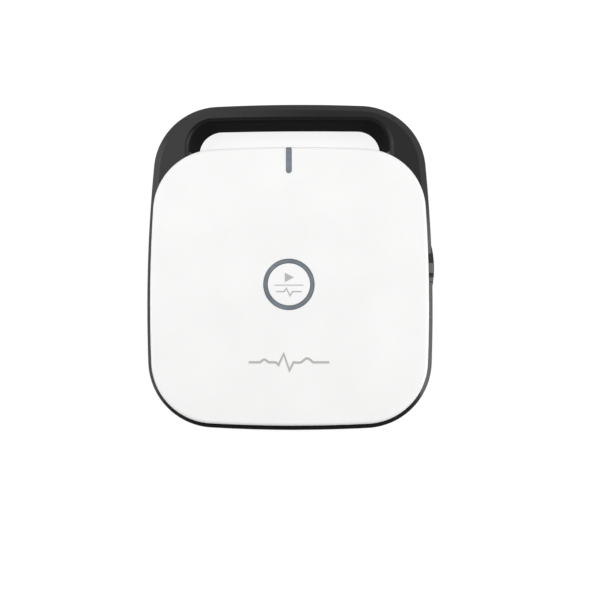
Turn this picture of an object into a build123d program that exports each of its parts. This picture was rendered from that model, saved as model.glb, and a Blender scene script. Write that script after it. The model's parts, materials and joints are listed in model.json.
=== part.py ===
from build123d import *
import math
import os

# A hand-sized ECG recorder that lies on its back. +Z is up, out of the white cover, +Y runs towards the
# carrying handle, and the origin is the middle of the whole outline on the surface it rests on.
# Plan sizes are millimetres from the middle of the white cover, which is also the middle of the start key.

# White cover
cover_half = 59.41               # from the middle to the middle of each side
cover_side_radius = 634.0        # each side bows out a little
cover_corner_radius = 26.65
cover_height = 9.4               # above the shelf
cover_roll = 1.5                 # radius of the rolled front edge
cover_inner_radius = 0.8

# Outline of the case at its widest
case_side_margin = 3.64          # the case reaches this far past the cover
case_lower_margin = 3.59
case_waist_offset = 1.1          # the widest point lies this far below the middle
case_side_radius = 656.0
case_lower_radius = 610.0
lower_corner_radius = 29.6
handle_length = 22.06            # past the upper side of the cover
handle_top_radius = 737.0
handle_corner_radius = 29.35

# Heights and walls of the case
foot_height = 1.0                # the feet stand this far out of the back
case_depth = 19.0                # from the back to the widest edge
rim_drop = 2.6                   # the sloping rim falls this far from the shelf
rim_width = 3.3
parting_depth = 10.0             # from the back to the joint between the two case halves
seam_height = 0.4                # groove round the case along that joint
seam_depth = 0.3
wall = 2.2
case_draft = 2.0                 # degrees
back_edge_radius = 4.5
widest_edge_radius = 0.8
cavity_chamfer_height = 2.0
cavity_chamfer_width = 3.0
deck_margin = 12.0               # the shelf reaches this far in under the cover
deck_opening_side_radius = 530.0
deck_opening_corner_radius = 14.75

# Finger opening of the handle: narrowest at the joint, flared to both faces
handle_arm_width = 21.6
handle_bar_width = 9.91
grip_radius = 10.35
grip_crown = 0.5
front_flare_side = 3.6
front_flare_top = 2.0
front_flare_radius = 0.9
back_flare = 2.8
grip_foot_radius = 0.6
grip_side_length = 0.2           # least straight length of its sides above the plinth
plinth_margin = 1.6              # how far the case reaches past the cover below the opening
front_lip_radius = 1.9
back_lip_radius = 1.0

# Gaps
fit_gap = 0.1                    # between pieces that are pushed or dropped together
light_gap = 0.15                 # round the light ring
running_gap = 0.3                # between pieces that move past one another
thread_gap = 0.05                # between a screw and its pilot hole
hole_gap = 0.2                   # round a screw that passes through

# Start key and light ring
ring_outer_radius = 10.8
ring_inner_radius = 9.15
ring_depth = 4.6
ring_recess = 0.25
ring_flange_radius = 13.0
ring_flange_thickness = 1.0
ring_edge_radius = 0.25
key_travel = 0.6
key_rise = 0.1
key_gap = 0.15                   # all round, in the ring that guides it
key_depth = 5.9
key_skin = 1.6
key_skirt = 1.2
key_edge_radius = 0.4
key_lug_reach = 0.9
key_lug_width = 3.4
key_lug_count = 3
key_lug_turn = 30.0              # degrees
key_stem_radius = 2.2

# Status light bar
bar_width = 2.4
bar_length = 11.6                # from the side of the cover to its round end
bar_wrap_depth = 6.0             # how far it runs down from the front face
bar_leg_width = 1.8
bar_leg_length = 8.0
bar_leg_inset = 7.5              # from the side of the cover to the middle of its leg
bar_leg_clearance = 0.4          # above its lamps

# Power slider in the right-hand wall
slider_travel = 3.9
slider_y = 5.75
slider_length = 8.0
slider_depth = 3.2
slider_height = 7.9
slider_cover_clearance = 0.4
slider_groove_offset = -1.35
slider_groove_width = 2.0
slider_groove_depth = 2.0
slider_edge_radius = 0.3
slider_stem_length = 3.8
slider_stem_width = 2.6
slider_stem_thickness = 1.6
slider_stem_rise = 0.9
bezel_y = 8.2
bezel_length = 20.0
bezel_height = 6.8
bezel_top_depth = 0.6            # below the widest edge
bezel_thickness = 1.4
bezel_bulge = 0.85
bezel_corner_radius = 1.8
bezel_end_inset = 0.3            # its ends end this far inside the wall
slider_end_inset = 0.2
window_floor_depth = 3.45        # into the wall, under the sloping rim
slider_pad_depth = 2.4

# Screws
case_screw_inset = 13.35         # from the widest edge
case_screw_y = 34.0
handle_screw_inset = 12.25
handle_screw_depth = 16.17       # below the top of the handle
case_screw_radius = 1.45
case_screw_length = 15.5
case_head_radius = 2.75
case_head_height = 1.9
case_head_depth = 3.2            # from the back to the seat under the head
case_boss_radius = 4.4
upper_boss_radius = 3.4
cover_screw_inset = 13.5         # from the sides of the cover
small_screw_radius = 1.05
small_head_radius = 2.1
small_head_height = 1.5
cover_screw_length = 7.0
cover_boss_radius = 3.3
front_screw_length = 6.0
front_boss_radius = 2.8
main_screw_length = 8.0
main_boss_radius = 3.0
pilot_margin = 0.4               # beyond the tip of a screw
cross_width = 0.7
cross_share = 0.6                # of the head's radius
cross_depth = 0.9

# Feet and label on the back
foot_side_inset = 20.0           # from the sides of the cover
foot_end_inset = 14.0
foot_radius = 5.5
foot_recess = 0.6
foot_edge_radius = 0.4
label_width = 56.0
label_length = 34.0
label_y = 2.0
label_recess = 0.3
label_thickness = 0.25
label_corner_radius = 2.0

# Front board under the cover
board_thickness = 1.6
front_board_rise = 0.4           # above the shelf
front_board_half = 22.0
front_board_low = -17.0
front_board_inset = 3.0          # from the side of the cover
front_board_radius = 3.0
front_screw_inset = 4.0          # from the edges of the board
front_screw_drop = 14.85         # from the top of the board to its upper screws
lamp_length = 1.6
lamp_width = 0.8
lamp_height = 0.7
ring_lamp_radius = 10.0
ring_lamp_count = 6
bar_lamp_count = 3
bar_lamp_pitch = 3.0
key_switch_size = 6.2
key_switch_height = 2.6
plunger_radius = 1.7
plunger_rise = 1.4               # above the switch
plunger_depth = 1.3              # inside the switch
plunger_clearance = 0.2          # under the plunger when the key is fully down

# Main board
main_board_height = 9.2          # its underside, above the back
main_board_margin = 4.4          # inside the case outline
main_board_side_margin = 11.05
main_board_upper_margin = 12.0   # from the upper side of the cover
main_board_radius = 6.0
board_notch_radius = 5.0
upper_screw_inset = (13.8, 8.0)  # from the board's sides, then from its ends
middle_screw_inset = 9.8
middle_screw_y = 2.0
lower_screw_inset = (21.8, 18.7)

# Parts on the main board: place, then size
processor_place = (8.0, 32.0)
processor_size = 14.0
processor_height = 1.4
lead_pitch = 1.0
lead_width = 0.4
lead_reach = 1.0
lead_height = 0.5
memory_place = (25.0, 32.0)
memory_pitch = 9.0
memory_length = 8.0
memory_width = 6.0
memory_height = 1.0
shield_place = (0.0, -27.0)
shield_length = 34.0
shield_width = 22.0
shield_height = 4.2
shield_sheet = 0.3
shield_hole_radius = 0.8
shield_hole_pitch = 6.0
shield_hole_columns = 5
shield_hole_rows = 3
converter_size = 10.0
converter_height = 1.2
radio_place = (-22.5, 25.0)
radio_length = 18.0
radio_width = 13.0
radio_board = 0.8
radio_can_length = 12.0
radio_can_width = 11.0
radio_can_height = 1.6
transformer_place = (-34.0, -20.0)
transformer_length = 13.0
transformer_width = 11.0
transformer_height = 8.6
transformer_core_width = 5.0
transformer_flange = 1.2
transformer_coil_radius = 4.2
coil_place = (28.0, -27.0)
coil_pitch = 10.0
coil_size = 7.0
coil_height = 3.5
coil_edge = 1.0
capacitor_place = (30.0, 13.0)
capacitor_pitch = 8.5
capacitor_radius = 3.15
capacitor_height = 5.4
capacitor_base = 6.6
capacitor_base_height = 0.8
crystal_place = (-6.5, 26.0)
crystal_length = 11.0
crystal_width = 4.6
crystal_height = 3.4
buzzer_place = (41.0, -20.0)
buzzer_radius = 6.0
buzzer_height = 5.0
buzzer_hole_radius = 1.0
resistor_inset = 21.0            # from the case's lower reach
resistor_pitch = 4.0
resistor_count = 10              # one for each lead wire
resistor_length = 3.2
resistor_width = 1.6
resistor_height = 0.6
small_cap_length = 1.6
small_cap_width = 0.8
small_cap_height = 0.8
small_cap_pitch = 2.6
small_cap_places = ((8.0, 19.5), (-30.0, -2.0), (24.0, -8.0), (0.0, -11.5))
small_cap_grids = ((5, 2), (4, 3), (2, 3), (8, 2))

# Flat cable between the two boards, which makes one turn between its two sockets
cable_x = -12.0
cable_width = 12.0
cable_thickness = 0.3
cable_run = 6.0
flat_socket_y = 15.5
flat_socket_length = 15.0
flat_socket_width = 5.0
flat_socket_height = 2.5
flat_slot_depth = 3.0

# Patient cable socket in the lower wall, 15 way
bay_end_gap = 1.4                # beyond the socket's flange
bay_height = 13.2
bay_depth = 4.5                  # from the case's lower reach to the panel
bay_wall = 2.0
bay_radius = 2.0
d_width = 24.7
d_height = 7.9
d_side_angle = 10.0
d_radius = 2.0
d_sheet = 0.4
d_shell_length = 6.2
d_flange_end = 2.94              # past the middle of each jack nut
d_flange_height = 12.5
d_flange_thickness = 0.8
d_body_width = 26.4
d_body_height = 9.8
d_body_length = 5.4
d_face_recess = 0.2
contact_pitch = 2.76
contact_row_gap = 2.84
contact_count = 8
contact_radius = 0.55
contact_hole_depth = 5.0
solder_cup_radius = 0.6
solder_cup_length = 4.0
board_edge_reach = 2.5           # the board reaches this far between the solder cups
jack_spacing = 33.32
jack_across_flats = 4.75
jack_nut_length = 4.0
jack_stud_length = 5.0
jack_stud_radius = 1.4
jack_bore_radius = 1.3
jack_bore_depth = 3.6

# USB socket beside it
usb_x = 32.0
usb_recess = 2.1                 # from the case's lower reach to its mouth
usb_width = 8.94
usb_height = 3.2
usb_length = 7.35
usb_sheet = 0.3
usb_tongue_width = 6.7
usb_tongue_thickness = 0.7
usb_tongue_recess = 0.7
usb_back = 1.0
usb_pocket_width = 12.6
usb_pocket_height = 6.8
usb_pocket_radius = 1.6
usb_slot_depth = 4.0             # the case is open this far round its shell

# Switch behind the power slider
switch_length = 14.0
switch_depth = 6.0
switch_height = 5.6
switch_edge_gap = 0.2            # beyond the board's edge
lever_depth = 3.0                # inside the switch

# Battery in its frame
battery_y = 6.0
cell_length = 60.0
cell_width = 50.0
cell_thickness = 5.8
cell_edge_radius = 2.0
foam_thickness = 0.5
foam_margin = 2.0
frame_thickness = 1.4
frame_height = 4.0
protection_depth = 3.0
protection_length = 28.0
protection_height = 2.6
protection_lift = 1.8
wire_radius = 0.65
wire_pitch = 2.2
wire_y = 15.0
wire_bend_radius = 2.2
wire_run = 3.0                   # from the plug to the bend
plug_stand = 3.0                 # out of the header
plug_length = 7.4
plug_width = 5.6
plug_height = 3.4
header_inset = 0.6               # from the board's edge
header_length = 7.2
header_width = 8.0
header_height = 5.6

# Places worked out from the sizes above
case_half_width = cover_half + case_side_margin
case_lower_reach = cover_half + case_lower_margin
handle_reach = cover_half + handle_length
grip_half = case_half_width - handle_arm_width
grip_reach = handle_reach - handle_bar_width
cover_centre_y = (case_lower_reach - handle_reach) / 2
back_z = foot_height
widest_z = back_z + case_depth
shelf_z = widest_z + rim_drop
front_z = shelf_z + cover_height
roof_z = front_z - wall
deck_z = shelf_z - wall
floor_z = back_z + wall
parting_z = back_z + parting_depth
main_board_z = back_z + main_board_height
main_top_z = main_board_z + board_thickness
front_board_z = shelf_z + front_board_rise
front_top_z = front_board_z + board_thickness
socket_z = main_board_z + board_thickness / 2
panel_y = -case_lower_reach + bay_depth
flange_y = panel_y + bay_wall
key_top_z = front_z + key_rise
key_foot_z = key_top_z - key_depth
slider_top_z = shelf_z - slider_cover_clearance
slider_foot_z = slider_top_z - slider_height
slider_stem_z = slider_foot_z + slider_stem_rise
window_floor_x = case_half_width - window_floor_depth
slider_inner_x = window_floor_x + running_gap
slider_outer_x = slider_inner_x + slider_depth
lever_tip_x = slider_inner_x - slider_stem_length
bezel_top_z = widest_z - bezel_top_depth
bezel_inner_x = case_half_width - bezel_thickness
slider_ledge_z = bezel_top_z + running_gap
bezel_outer_x = case_half_width + bezel_bulge
window_length = slider_length + slider_travel + 2 * running_gap
window_y = slider_y + slider_travel / 2
cell_z = floor_z + foam_thickness
frame_inner_low = -cell_length / 2 - protection_depth - running_gap
frame_inner_high = cell_length / 2 + running_gap
bar_leg_y = cover_half - bar_leg_inset
front_board_high = cover_half - front_board_inset
main_board_half = case_half_width - main_board_side_margin
main_board_high = cover_half - main_board_upper_margin
d_flange_width = jack_spacing + 2 * d_flange_end
bay_half = d_flange_width / 2 + bay_end_gap
usb_reach = case_lower_reach - usb_recess
header_reach = main_board_half - header_inset
plug_reach = header_reach + plug_stand
wire_reach = plug_reach + wire_run

on_top = (Align.CENTER, Align.CENTER, Align.MIN)
below = (Align.CENTER, Align.CENTER, Align.MAX)


# A level plane at a height, with its middle under the middle of the white cover
def level(height):
    return Plane((0, cover_centre_y, height))


# An upright plane that looks along +Y from the lower wall, X to the right and Z up
def lower_wall(y, height):
    return Plane(origin=(0, cover_centre_y + y, height), x_dir=(1, 0, 0), z_dir=(0, -1, 0))


# An upright plane that looks in from the right, with Y to the right and Z up
def right_wall(x, y, height):
    return Plane(origin=(x, cover_centre_y + y, height), x_dir=(0, 1, 0), z_dir=(1, 0, 0))


# The two spots that mirror each other across the middle
def pair(x, y):
    return (x, y), (-x, y)


case_screw_x = case_half_width - case_screw_inset
cover_screw_x = cover_half - cover_screw_inset
front_screw_x = front_board_half - front_screw_inset
foot_x = cover_half - foot_side_inset
foot_y = cover_half - foot_end_inset
case_screw_spots = (*pair(case_screw_x, case_screw_y), *pair(case_screw_x, -case_screw_y),
                    *pair(case_half_width - handle_screw_inset, handle_reach - handle_screw_depth))
cover_screw_spots = (*pair(cover_screw_x, cover_screw_x), *pair(cover_screw_x, -cover_screw_x))
front_screw_spots = (*pair(front_screw_x, front_board_low + front_screw_inset),
                     *pair(front_screw_x, front_board_high - front_screw_drop))
main_screw_spots = (*pair(main_board_half - upper_screw_inset[0], main_board_high - upper_screw_inset[1]),
                    *pair(main_board_half - middle_screw_inset, middle_screw_y),
                    *pair(main_board_half - lower_screw_inset[0], lower_screw_inset[1] - case_lower_reach))
foot_spots = (*pair(foot_x, foot_y), *pair(foot_x, -foot_y))


# A plan bounded by four large discs, given as centre x, centre y and radius
def between_discs(discs):
    with BuildSketch() as plan:
        Rectangle(4 * handle_reach, 4 * handle_reach)
        for x, y, radius in discs:
            with Locations((x, y)):
                Circle(radius, mode=Mode.INTERSECT)
    return plan.sketch


# Four bowed sides with round corners, as on the white cover
def rounded_square(half, side_radius, corner_radius):
    offset_middle = side_radius - half
    with BuildSketch() as plan:
        add(between_discs(((-offset_middle, 0, side_radius), (offset_middle, 0, side_radius),
                           (0, -offset_middle, side_radius), (0, offset_middle, side_radius))))
        fillet(plan.vertices(), corner_radius)
    return plan.sketch


def cover_plan(grow=0.0):
    return rounded_square(cover_half + grow, cover_side_radius + grow, cover_corner_radius + grow)


def case_plan(inset=0.0):
    side = case_side_radius - inset
    with BuildSketch() as plan:
        add(between_discs(((case_half_width - case_side_radius, -case_waist_offset, side),
                           (case_side_radius - case_half_width, -case_waist_offset, side),
                           (0, handle_reach - handle_top_radius, handle_top_radius - inset),
                           (0, case_lower_radius - case_lower_reach, case_lower_radius - inset))))
        fillet(plan.vertices().sort_by(Axis.Y)[:2], lower_corner_radius - inset)
        fillet(plan.vertices().sort_by(Axis.Y)[-2:], handle_corner_radius - inset)
    return plan.sketch


# A plan lifted to a height
def raised(height, plan):
    with BuildSketch(level(height)) as outline:
        add(plan)
    return outline.sketch


# How far the drafted wall has come in at a height below the widest edge
def draft_inset(height):
    return (widest_z - height) * math.tan(math.radians(case_draft))


# The finger opening at one height. The cover's plinth closes its lower side.
def opening_outline(height, half, reach, radius, grow):
    plinth = cover_plan(plinth_margin - grow)
    corner_room = reach - cover_half - plinth_margin - grip_side_length
    left = (-half - grow, reach + grow - grip_crown)
    right = (half + grow, reach + grow - grip_crown)
    with BuildSketch(level(height)) as outline:
        with BuildLine():
            ThreePointArc(left, (0, reach + grow), right)
            Polyline(right, (half + grow, 0), (-half - grow, 0), left)
        make_face()
        fillet(outline.vertices().sort_by(Axis.Y)[-2:], min(radius + grow, corner_room))
        add(plinth, mode=Mode.SUBTRACT)
        fillet(outline.vertices().sort_by(Axis.Y)[:2], grip_foot_radius + grow)
    return outline.sketch


def finger_opening(grow=0.0):
    waist = opening_outline(parting_z, grip_half, grip_reach, grip_radius, grow)
    front = opening_outline(shelf_z, grip_half + front_flare_side, grip_reach + front_flare_top,
                            grip_radius + front_flare_radius, grow)
    back = opening_outline(back_z, grip_half + back_flare, grip_reach + back_flare,
                           grip_radius + back_flare, grow)
    with BuildPart() as opening:
        loft([waist, front], ruled=True)
        loft([back, waist], ruled=True)
    return opening.part


# Case, before it is parted

with BuildPart() as seam_groove:
    seam_foot_z = parting_z - seam_height / 2
    extrude(raised(seam_foot_z, case_plan()), amount=seam_height)
    extrude(raised(seam_foot_z, case_plan(draft_inset(parting_z) + seam_depth)), amount=seam_height,
            mode=Mode.SUBTRACT)

with BuildPart() as case_form:
    loft([raised(back_z, case_plan(draft_inset(back_z))), raised(widest_z, case_plan())], ruled=True)
    fillet(case_form.faces().sort_by(Axis.Z)[0].edges(), back_edge_radius)
    loft([raised(widest_z, case_plan()), raised(shelf_z, case_plan(rim_width))], ruled=True)
    widest_edges = case_form.edges().group_by(lambda edge: abs(edge.center().Z - widest_z))[0]
    fillet(widest_edges, widest_edge_radius)
    add(seam_groove.part, mode=Mode.SUBTRACT)
    add(finger_opening(), mode=Mode.SUBTRACT)
    fillet(case_form.faces().sort_by(Axis.Z)[-1].inner_wires()[0].edges(), front_lip_radius)
    fillet(case_form.faces().sort_by(Axis.Z)[0].inner_wires()[0].edges(), back_lip_radius)

# The hollow, less all that stays solid in it
with BuildPart() as case_hollow:
    hollow_floor = raised(floor_z, case_plan(wall + draft_inset(floor_z)))
    loft([hollow_floor, raised(deck_z, case_plan(wall))], ruled=True)
    fillet(case_hollow.faces().sort_by(Axis.Z)[0].edges(), back_edge_radius - wall)
    chamfer(case_hollow.faces().sort_by(Axis.Z)[-1].edges(), cavity_chamfer_height, cavity_chamfer_width)
    add(finger_opening(wall), mode=Mode.SUBTRACT)
    with BuildSketch(lower_wall(flange_y, socket_z)):
        Rectangle(2 * (bay_half + bay_wall), bay_height + 2 * bay_wall)
    extrude(amount=case_lower_reach + flange_y, mode=Mode.SUBTRACT)
    with BuildSketch(level(parting_z)):
        with Locations((window_floor_x - slider_pad_depth, window_y)):
            Rectangle(case_half_width, window_length + 2 * slider_pad_depth, align=(Align.MIN, Align.CENTER))
    extrude(amount=deck_z - parting_z, mode=Mode.SUBTRACT)
    with BuildSketch(level(floor_z)):
        with Locations(*case_screw_spots):
            Circle(case_boss_radius)
    extrude(amount=parting_z - floor_z, mode=Mode.SUBTRACT)
    with BuildSketch(level(parting_z)):
        with Locations(*case_screw_spots):
            Circle(upper_boss_radius)
    extrude(amount=deck_z - parting_z, mode=Mode.SUBTRACT)


# The shape of the 15-way socket: wider above than below
def d_outline(plane, width, height, radius):
    slant = height * math.tan(math.radians(d_side_angle)) / 2
    with BuildSketch(plane) as outline:
        with BuildLine():
            Polyline((-width / 2 + 2 * slant, -height / 2), (width / 2 - 2 * slant, -height / 2),
                     (width / 2, height / 2), (-width / 2, height / 2), close=True)
        make_face()
        fillet(outline.vertices(), radius)
    return outline.sketch


# Everything cut into the lower wall: the socket's bay, its panel, and the USB pocket and slot
usb_z = main_top_z + usb_height / 2

with BuildPart() as wall_sockets:
    with BuildSketch(lower_wall(panel_y, socket_z)):
        RectangleRounded(2 * bay_half, bay_height, bay_radius)
    extrude(amount=2 * bay_depth)
    socket_hole = d_outline(lower_wall(flange_y, socket_z), d_width + 2 * fit_gap,
                            d_height + 2 * fit_gap, d_radius)
    extrude(socket_hole, amount=bay_wall)
    with BuildSketch(lower_wall(flange_y, socket_z)):
        with GridLocations(jack_spacing, 0, 2, 1):
            Circle(jack_stud_radius + hole_gap)
    extrude(amount=bay_wall)
    with BuildSketch(lower_wall(-usb_reach, usb_z)):
        with Locations((usb_x, 0)):
            RectangleRounded(usb_pocket_width, usb_pocket_height, usb_pocket_radius)
    extrude(amount=bay_depth)
    with BuildSketch(level(parting_z)):
        with Locations((usb_x, -usb_reach)):
            Rectangle(usb_width + 2 * hole_gap, 2 * usb_slot_depth)
    extrude(amount=usb_z + usb_height / 2 + hole_gap - parting_z)

# Everything cut into the right-hand wall for the power slider
with BuildPart() as slider_cuts:
    with BuildSketch(level(slider_foot_z - running_gap)):
        with Locations((window_floor_x, window_y)):
            Rectangle(case_half_width, window_length, align=(Align.MIN, Align.CENTER))
    extrude(amount=slider_height + slider_cover_clearance + running_gap)
    with BuildSketch(level(slider_stem_z - running_gap)):
        with Locations((window_floor_x, window_y)):
            Rectangle(slider_pad_depth, slider_stem_width + slider_travel + 2 * running_gap,
                      align=(Align.MAX, Align.CENTER))
    extrude(amount=slider_stem_thickness + 2 * running_gap)
    with BuildSketch(right_wall(bezel_inner_x - fit_gap, bezel_y, bezel_top_z - bezel_height / 2)):
        RectangleRounded(bezel_length + 2 * fit_gap, bezel_height + 2 * fit_gap,
                         bezel_corner_radius + fit_gap)
    extrude(amount=case_half_width)


# A screw with its seat at the origin, its head below it and its shank above it
def pan_screw(radius, length, head_radius, head_height):
    with BuildPart() as screw:
        Cylinder(head_radius, head_height, align=below)
        fillet(screw.faces().sort_by(Axis.Z)[0].edges(), head_height / 2)
        Cylinder(radius, length, align=on_top)
        chamfer(screw.faces().sort_by(Axis.Z)[-1].edges(), radius / 3)
        with BuildSketch(Plane.XY.offset(-head_height)):
            Rectangle(2 * cross_share * head_radius, cross_width)
            Rectangle(cross_width, 2 * cross_share * head_radius)
        extrude(amount=cross_depth, mode=Mode.SUBTRACT)
    return screw.part


head_seat_z = back_z + case_head_depth
parting_plane = Plane.XY.offset(parting_z)

# Upper case, with the front half of the handle
with BuildPart() as upper_case:
    add(case_form.part)
    split(bisect_by=parting_plane, keep=Keep.TOP)
    add(case_hollow.part, mode=Mode.SUBTRACT)
    deck_opening = rounded_square(cover_half - deck_margin, deck_opening_side_radius,
                                  deck_opening_corner_radius)
    extrude(raised(deck_z, deck_opening), amount=wall, mode=Mode.SUBTRACT)
    add(wall_sockets.part, mode=Mode.SUBTRACT)
    add(slider_cuts.part, mode=Mode.SUBTRACT)
    with BuildSketch(level(parting_z)):
        with Locations(*case_screw_spots):
            Circle(case_screw_radius + thread_gap)
    extrude(amount=head_seat_z + case_screw_length + pilot_margin - parting_z, mode=Mode.SUBTRACT)
    with BuildSketch(level(deck_z)):
        with Locations(*cover_screw_spots):
            Circle(small_screw_radius + hole_gap)
    extrude(amount=wall, mode=Mode.SUBTRACT)

# Rear case, with the rear half of the handle, the board bosses and the battery frame
with BuildPart() as rear_case:
    add(case_form.part)
    split(bisect_by=parting_plane, keep=Keep.BOTTOM)
    add(case_hollow.part, mode=Mode.SUBTRACT)
    with BuildSketch(level(floor_z)):
        with Locations(*main_screw_spots):
            Circle(main_boss_radius)
    extrude(amount=main_board_z - floor_z)
    with BuildSketch(level(floor_z)):
        with Locations(((frame_inner_low + frame_inner_high) / 2, battery_y)):
            frame_length = frame_inner_high - frame_inner_low
            frame_width = cell_width + 2 * running_gap
            Rectangle(frame_length + 2 * frame_thickness, frame_width + 2 * frame_thickness)
            Rectangle(frame_length, frame_width, mode=Mode.SUBTRACT)
        with Locations((frame_inner_low - frame_thickness / 2, wire_y)):
            Rectangle(2 * frame_thickness, 2 * wire_pitch + 2 * wire_radius, mode=Mode.SUBTRACT)
    extrude(amount=frame_height)
    add(wall_sockets.part, mode=Mode.SUBTRACT)
    add(slider_cuts.part, mode=Mode.SUBTRACT)
    with BuildSketch(level(back_z)):
        with Locations(*case_screw_spots):
            Circle(case_head_radius + hole_gap)
    extrude(amount=case_head_depth, mode=Mode.SUBTRACT)
    with BuildSketch(level(back_z)):
        with Locations(*case_screw_spots):
            Circle(case_screw_radius + hole_gap)
    extrude(amount=parting_depth, mode=Mode.SUBTRACT)
    with BuildSketch(level(main_board_z)):
        with Locations(*main_screw_spots):
            Circle(small_screw_radius + thread_gap)
    extrude(amount=board_thickness - main_screw_length - pilot_margin, mode=Mode.SUBTRACT)
    with BuildSketch(level(back_z)):
        with Locations(*foot_spots):
            Circle(foot_radius + fit_gap)
    extrude(amount=foot_recess, mode=Mode.SUBTRACT)
    with BuildSketch(level(back_z)):
        with Locations((0, label_y)):
            RectangleRounded(label_width + 2 * fit_gap, label_length + 2 * fit_gap, label_corner_radius)
    extrude(amount=label_recess, mode=Mode.SUBTRACT)

with BuildPart(level(head_seat_z)) as case_screws:
    with Locations(*case_screw_spots):
        add(pan_screw(case_screw_radius, case_screw_length, case_head_radius, case_head_height))

with BuildPart(level(0)) as rubber_feet:
    with Locations(*foot_spots):
        Cylinder(foot_radius, foot_height + foot_recess, align=on_top)
    fillet(rubber_feet.edges().group_by(Axis.Z)[0], foot_edge_radius)

with BuildPart() as rating_label:
    with BuildSketch(level(back_z + label_recess)):
        with Locations((0, label_y)):
            RectangleRounded(label_width, label_length, label_corner_radius)
    extrude(amount=-label_thickness)

# White cover

with BuildPart() as cover_form:
    extrude(raised(shelf_z, cover_plan()), amount=cover_height)
    fillet(cover_form.faces().sort_by(Axis.Z)[-1].edges(), cover_roll)

with BuildPart() as cover_hollow:
    extrude(raised(shelf_z, cover_plan(-wall)), amount=roof_z - shelf_z)
    fillet(cover_hollow.faces().sort_by(Axis.Z)[-1].edges(), cover_inner_radius)


# The strip that the status light bar takes out of the cover
def bar_form(grow=0.0):
    with BuildPart() as strip:
        with BuildSketch(level(front_z - bar_wrap_depth - grow)):
            with Locations((0, cover_half - bar_length + bar_width / 2)):
                Circle(bar_width / 2 + grow)
                Rectangle(bar_width + 2 * grow, bar_length, align=(Align.CENTER, Align.MIN))
        extrude(amount=bar_wrap_depth + 2 * grow)
    return strip.part


with BuildPart() as front_cover:
    add(cover_form.part)
    add(cover_hollow.part, mode=Mode.SUBTRACT)
    with BuildSketch(level(shelf_z)):
        with Locations(*cover_screw_spots):
            Circle(cover_boss_radius)
    extrude(amount=roof_z - shelf_z)
    with BuildSketch(level(front_top_z)):
        with Locations(*front_screw_spots):
            Circle(front_boss_radius)
    extrude(amount=roof_z - front_top_z)
    with BuildSketch(level(shelf_z)):
        with Locations(*cover_screw_spots):
            Circle(small_screw_radius + thread_gap)
    extrude(amount=cover_screw_length - wall + pilot_margin, mode=Mode.SUBTRACT)
    with BuildSketch(level(front_top_z)):
        with Locations(*front_screw_spots):
            Circle(small_screw_radius + thread_gap)
    extrude(amount=front_screw_length - board_thickness + pilot_margin, mode=Mode.SUBTRACT)
    with BuildSketch(level(front_z)):
        Circle(ring_outer_radius + light_gap)
    extrude(amount=-wall, mode=Mode.SUBTRACT)
    add(bar_form(fit_gap), mode=Mode.SUBTRACT)

with BuildPart() as status_light_bar:
    add(cover_form.part)
    add(cover_hollow.part, mode=Mode.SUBTRACT)
    add(bar_form(), mode=Mode.INTERSECT)
    with BuildSketch(level(roof_z)):
        with Locations((0, bar_leg_y)):
            Rectangle(bar_leg_width, bar_leg_length)
    extrude(amount=front_top_z + lamp_height + bar_leg_clearance - roof_z)

with BuildPart(level(deck_z)) as cover_screws:
    with Locations(*cover_screw_spots):
        add(pan_screw(small_screw_radius, cover_screw_length, small_head_radius, small_head_height))

# Start key in its light ring

ring_top_z = front_z - ring_recess
ring_foot_z = ring_top_z - ring_depth
key_radius = ring_inner_radius - key_gap
plunger_top_z = front_top_z + key_switch_height + plunger_rise

with BuildPart(level(ring_top_z)) as light_ring:
    Cylinder(ring_outer_radius, ring_depth, align=below)
    with Locations((0, 0, roof_z - fit_gap - ring_top_z)):
        Cylinder(ring_flange_radius, ring_flange_thickness, align=below)
    Cylinder(ring_inner_radius, ring_depth, align=below, mode=Mode.SUBTRACT)
    fillet(light_ring.edges().group_by(Axis.Z)[-1], ring_edge_radius)

with BuildPart(level(key_top_z)) as start_key:
    Cylinder(key_radius, key_depth, align=below)
    fillet(start_key.edges().group_by(Axis.Z)[-1], key_edge_radius)
    with Locations((0, 0, -key_skin)):
        Cylinder(key_radius - key_skirt, key_depth - key_skin, align=below, mode=Mode.SUBTRACT)
        Cylinder(key_stem_radius, key_top_z - key_skin - plunger_top_z, align=below)
    with Locations((0, 0, -key_depth)):
        with PolarLocations(key_radius - key_skirt / 2, key_lug_count, start_angle=key_lug_turn):
            Box(key_skirt / 2 + key_lug_reach, key_lug_width, ring_foot_z - running_gap - key_foot_z,
                align=(Align.MIN, Align.CENTER, Align.MIN))

with BuildPart(level(plunger_top_z)) as key_switch_plunger:
    Cylinder(plunger_radius, plunger_rise + plunger_depth, align=below)

with BuildPart(level(front_top_z)) as key_switch_body:
    Box(key_switch_size, key_switch_size, key_switch_height, align=on_top)
    chamfer(key_switch_body.edges().filter_by(Axis.Z), key_switch_size / 8)
    with Locations((0, 0, key_switch_height)):
        Cylinder(plunger_radius + fit_gap, plunger_depth + key_travel + plunger_clearance, align=below,
                 mode=Mode.SUBTRACT)

# Front board

with BuildPart() as front_board:
    with BuildSketch(level(front_board_z)) as front_plan:
        with Locations((0, (front_board_low + front_board_high) / 2)):
            RectangleRounded(2 * front_board_half, front_board_high - front_board_low, front_board_radius)
        with Locations(*front_screw_spots):
            Circle(small_screw_radius + hole_gap, mode=Mode.SUBTRACT)
    extrude(amount=board_thickness)

with BuildPart(level(front_board_z)) as front_board_screws:
    with Locations(*front_screw_spots):
        add(pan_screw(small_screw_radius, front_screw_length, small_head_radius, small_head_height))

with BuildPart(level(front_top_z)) as ring_lamps:
    with PolarLocations(ring_lamp_radius, ring_lamp_count):
        Box(lamp_width, lamp_length, lamp_height, align=on_top)

with BuildPart(level(front_top_z)) as bar_lamps:
    with Locations((0, bar_leg_y)):
        with GridLocations(0, bar_lamp_pitch, 1, bar_lamp_count):
            Box(lamp_width, lamp_length, lamp_height, align=on_top)

# Flat cable and its two sockets, whose mouths both face the lower wall

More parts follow.
